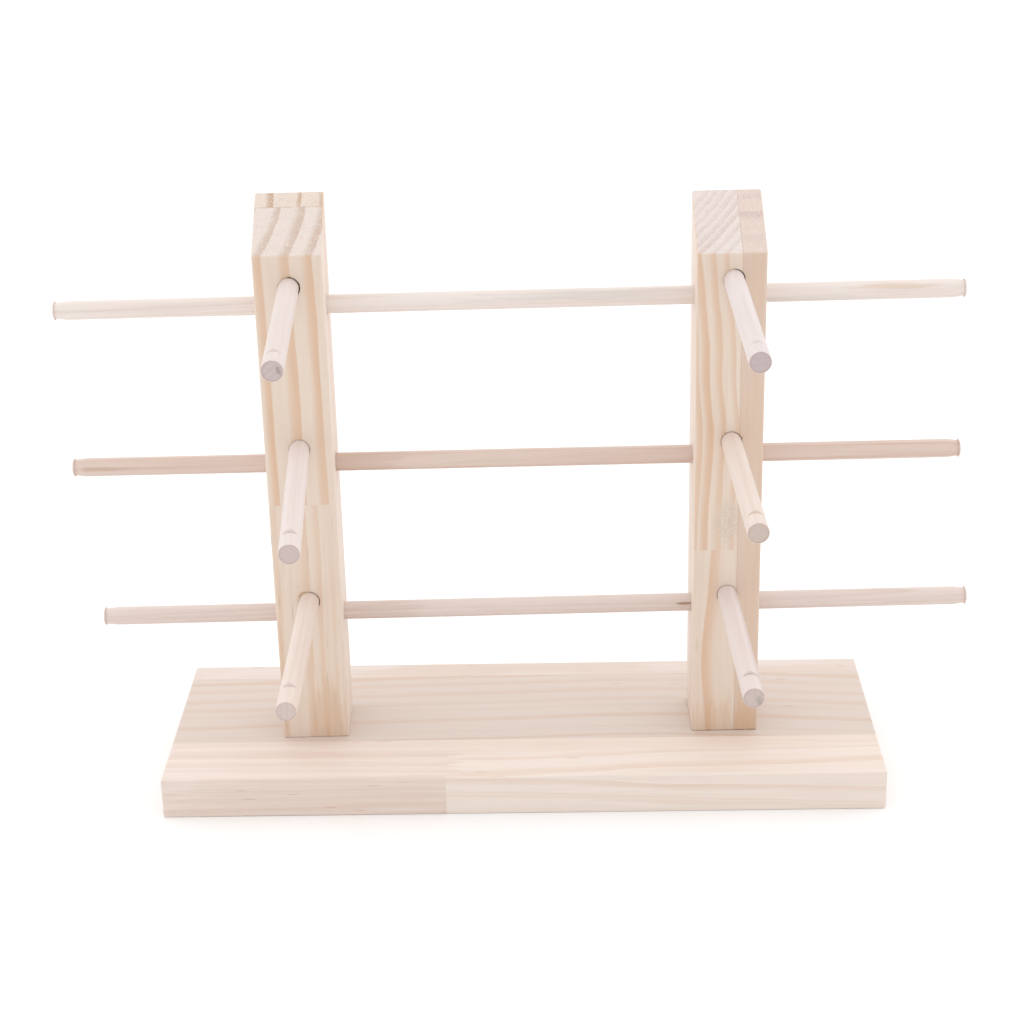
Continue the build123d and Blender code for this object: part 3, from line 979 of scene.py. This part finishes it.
# ------------------------------------------------------------------ pegs and their saddles
SADDLES = {  # mm from the tip to the step, and the step's height
    "peg_left_bottom": (14.0, 1.5),
    "peg_left_middle": (11.0, 1.7),
    "peg_left_top": (10.5, 1.3),
    "peg_right_bottom": (13.0, 1.7),
    "peg_right_middle": (10.5, 1.7),
    "peg_right_top": (10.5, 1.0),
}
FLAWS = {  # mm that a tip's upper rim is chipped, or that a saddle's right side is torn
    "peg_left_top": {"chip": 0.5},
    "peg_right_middle": {"tear": 0.8},
    "peg_right_bottom": {"tear": 0.5},
}
SADDLE_RAMP = 4.5  # mm along a saddle's ramp, from nothing down to the foot of its step
SADDLE_LEAN = 0.4  # mm along its step, which isn't quite upright
SADDLE_HOLLOW = 0.45  # 1 for a straight ramp, less for a hollow one
SADDLE_STEP = 0.25  # mm between rings there
SADDLE_MARGIN = 0.5  # mm of such rings before the ramp
SADDLE_EDGE = 0.05  # mm past the step to a last ring
RASP = 0.07  # mm, how rough the file left it
RASP_MARK = (0.8, 0.5)  # mm across and along a mark of the file
RAIL_SEEDS = 3.1  # from one rail's seed to the next
PEG_SEEDS = (20, 3.7)  # the first peg's seed, and from one to the next
TORN_LEAST = 0.6  # shares of a tear and of a chip that are sure, the rest being ragged
CHIP_LEAST = 0.5


def saddle_floor(before_step, height):
    """How deep a saddle is cut, in mm, at this far before its step: a hollow ramp, then the step."""
    if before_step >= SADDLE_RAMP:
        return 0.0
    if before_step >= 0:
        share = 1 - before_step / SADDLE_RAMP
        return height * share * (SADDLE_HOLLOW + (1 - SADDLE_HOLLOW) * share)
    return height * max(0.0, 1 + before_step / SADDLE_LEAN)


def saddle_stations(step_at):
    """Stations close together along a saddle, with one at its step and one just past it."""
    first = step_at - SADDLE_RAMP - SADDLE_MARGIN
    last = step_at + SADDLE_LEAN
    count = int((last - first) / SADDLE_STEP)
    even = [first + (last - first) * i / count for i in range(count + 1)]
    return even + [step_at, last + SADDLE_EDGE]


def make_peg(node, seed, material, chip=0.0, tear=0.0):
    """A peg with its filed saddle, and with the flaws in FLAWS."""
    lie = Dowel(node)
    half, radius = turned_size(lie, PEG_WAVE)
    from_tip, height = SADDLES[node]
    step_at = half - from_tip

    def shape(t, angle, x, y):
        swell = 1 + uneven(seed, t, angle, PEG_WAVE) / radius
        x, y = x * swell, y * swell
        depth = saddle_floor(step_at - t, height)
        if depth > 0:
            rasp = RASP * noise.noise(Vector((x / RASP_MARK[0], t / RASP_MARK[1], seed)))
            ragged = TORN_LEAST + noise.noise(Vector((x * 2, t * 2, seed)))
            y = min(y, radius - depth + rasp - tear * max(0.0, x / radius) ** 2 * ragged)
        if half - t < chip:
            ragged = CHIP_LEAST + noise.noise(Vector((x * 1.3, seed, 0.0)))
            y = min(y, radius - max(0.0, (chip - half + t) * ragged))
        return x, y

    stations = dowel_stations(half, PEG_EDGE, PEG_STEP, saddle_stations(step_at))
    add_dowel(lie, dowel_mesh(lie, stations, radius, shape), material)


def make_dowels():
    """All nine dowels, each with its own seed for what is uneven about it."""
    for i, (node, material) in enumerate(finish_rails().items()):
        make_rail(node, RAIL_SEEDS * i, material)
    for i, (node, material) in enumerate(finish_pegs().items()):
        make_peg(node, PEG_SEEDS[0] + PEG_SEEDS[1] * i, material, **FLAWS.get(node, {}))


# ------------------------------------------------------------------ fibres round the sockets' mouths
SEAT = 20.0  # mm of a peg that is inside its socket
LIPS = (  # where a socket is snug, from one angle to another, in degrees above +X
    ("peg_left_top", 84, 200),
    ("peg_left_middle", 100, 190),
    ("peg_left_bottom", 84, 190),
    ("peg_right_top", 84, 200),
    ("peg_right_bottom", -10, 80),
)
LIP_RISE = 0.12  # mm that a lip's fibres stand up
LIP_WIDTH = (0.03, 0.2, 0.1)  # mm of it from the peg outwards: at its ends, more between, and ragged
LIP_ROOT = 1.0  # mm that it goes down into the socket
LIP_POINTS = 60
LIP_JAG = (0.6, 0.8, 0.2)  # the rise's middle, how much it varies, and the least of it
LIP_JAGS = 2.5  # per mm
LIP_TAPER = 8  # how soon a lip is at its full size
LIP_SHOULDER = 0.3  # the outer edge's share of the rise
SPLINTERS = (  # a seed for each peg, and where the slivers start, in degrees above +X
    ("peg_left_bottom", 1.0, (92, 101, 109, 118, 124, 133, 141, 150)),
    ("peg_left_top", 4.0, (8, 62, 70)),
    ("peg_right_middle", 7.0, (120, 20)),
)
SLIVER_LENGTH = (2.2, 2.0)  # mm, and how much it varies
SLIVER_BEND = (30, 50)  # degrees round the peg
SLIVER_LIFT = (0.25, 0.3)  # mm
SLIVER_START = (0.15, 0.05)  # mm from the peg, and out of the mouth
SLIVER_OUTWARDS = 0.55  # share of the length that leads away from the peg
SLIVER_HALF = 0.16  # mm, half its width at the root
SLIVER_TAPER = 0.85  # share of that lost at the tip
SLIVER_SECTION = ((-1, 0), (0, 1.1), (1, 0))  # in half widths
SLIVER_POINTS = 5
LIP_SEEDS = 5.3  # from one lip's seed to the next
SLIVER_SEEDS = 2.7


def mouth_point(lie, reach, angle, out):
    """The place this far from a peg's axis, at an angle, and this far out of its socket's mouth."""
    mouth = SEAT - lie.length / MM / 2
    return lie.point(reach * cos(angle), reach * sin(angle), mouth + out)


def make_lip(node, start, end, seed, material):
    """Fibres pressed against a peg round part of its socket's mouth."""
    lie = Dowel(node)
    radius = lie.width / MM / 2
    least, more, ragged = LIP_WIDTH
    usual, change, lowest = LIP_JAG
    mesh = bmesh.new()
    rings = []
    for i in range(LIP_POINTS + 1):
        share = i / LIP_POINTS
        angle = radians(start + (end - start) * share)
        taper = min(1.0, LIP_TAPER * share * (1 - share))
        jag = usual + change * noise.noise(Vector((angle * radius * LIP_JAGS, seed, 0.0)))
        outer = radius + least + (more + ragged * jag) * taper
        rise = LIP_RISE * max(lowest, jag) * taper
        section = ((radius, -LIP_ROOT), (radius, rise), (outer, rise * LIP_SHOULDER), (outer, -LIP_ROOT))
        rings.append([mesh.verts.new(mouth_point(lie, reach, angle, out)) for reach, out in section])
    loft(mesh, rings)
    add_fibres(node + "_lip", mesh, material)


def add_sliver(mesh, lie, aim, seed):
    """One sliver beside a socket's mouth, that bends round the peg and tapers to its tip."""
    draws = [noise.noise(Vector((seed, i, 0.3))) for i in range(3)]
    length = SLIVER_LENGTH[0] + SLIVER_LENGTH[1] * draws[0]
    bend = SLIVER_BEND[0] + SLIVER_BEND[1] * draws[1]
    lift = SLIVER_LIFT[0] + SLIVER_LIFT[1] * abs(draws[2])
    rings = []
    for i in range(SLIVER_POINTS):
        share = i / (SLIVER_POINTS - 1)
        angle = radians(aim + bend * share * share)
        reach = lie.width / MM / 2 + SLIVER_START[0] + SLIVER_OUTWARDS * length * share
        half = SLIVER_HALF * (1 - SLIVER_TAPER * share)
        rise = SLIVER_START[1] + lift * share * (1.2 - share)
        ring = []
        for side, up in SLIVER_SECTION:
            turn = angle + side * half / reach
            ring.append(mesh.verts.new(mouth_point(lie, reach, turn, rise + up * half)))
        rings.append(ring)
    loft(mesh, rings)


def make_splinters(node, seed, aims, material):
    """The slivers that the drill tore out round a socket's mouth."""
    mesh = bmesh.new()
    for i, aim in enumerate(aims):
        add_sliver(mesh, Dowel(node), aim, seed + SLIVER_SEEDS * i)
    add_fibres(node + "_splinters", mesh, material)


def fibre_finish(name, pale, dark):
    """Bare torn pine fibres."""
    graph = material_graph(name)
    AS_IT_LIES.lay(graph)
    strand = graph.noise(grain(graph, 0.25, 1.2), detail=3.0)
    colour = graph.mix(graph.spread(strand, 0.35, 0.65), srgb(*pale), srgb(*dark))
    return graph.finish(colour, graph.line(strand, 0.3, 0.7, 0.6, 0.8), strand, DOWEL_RELIEF * MM)


def make_mouths():
    """What the drill left round the pegs' sockets."""
    snug = fibre_finish("fibre_snug", (226, 206, 184), (206, 178, 150))
    torn = fibre_finish("fibre_torn", (236, 214, 158), (192, 152, 92))
    for i, (node, start_angle, end_angle) in enumerate(LIPS):
        make_lip(node, start_angle, end_angle, LIP_SEEDS * i, snug)
    for node, seed, aims in SPLINTERS:
        make_splinters(node, seed, aims, torn)


# ------------------------------------------------------------------ the scene
make_camera()
make_studio()
make_floor()
for finishes in (finish_board, finish_left_post, finish_right_post, finish_screws):
    dress(finishes())
make_dowels()
make_mouths()
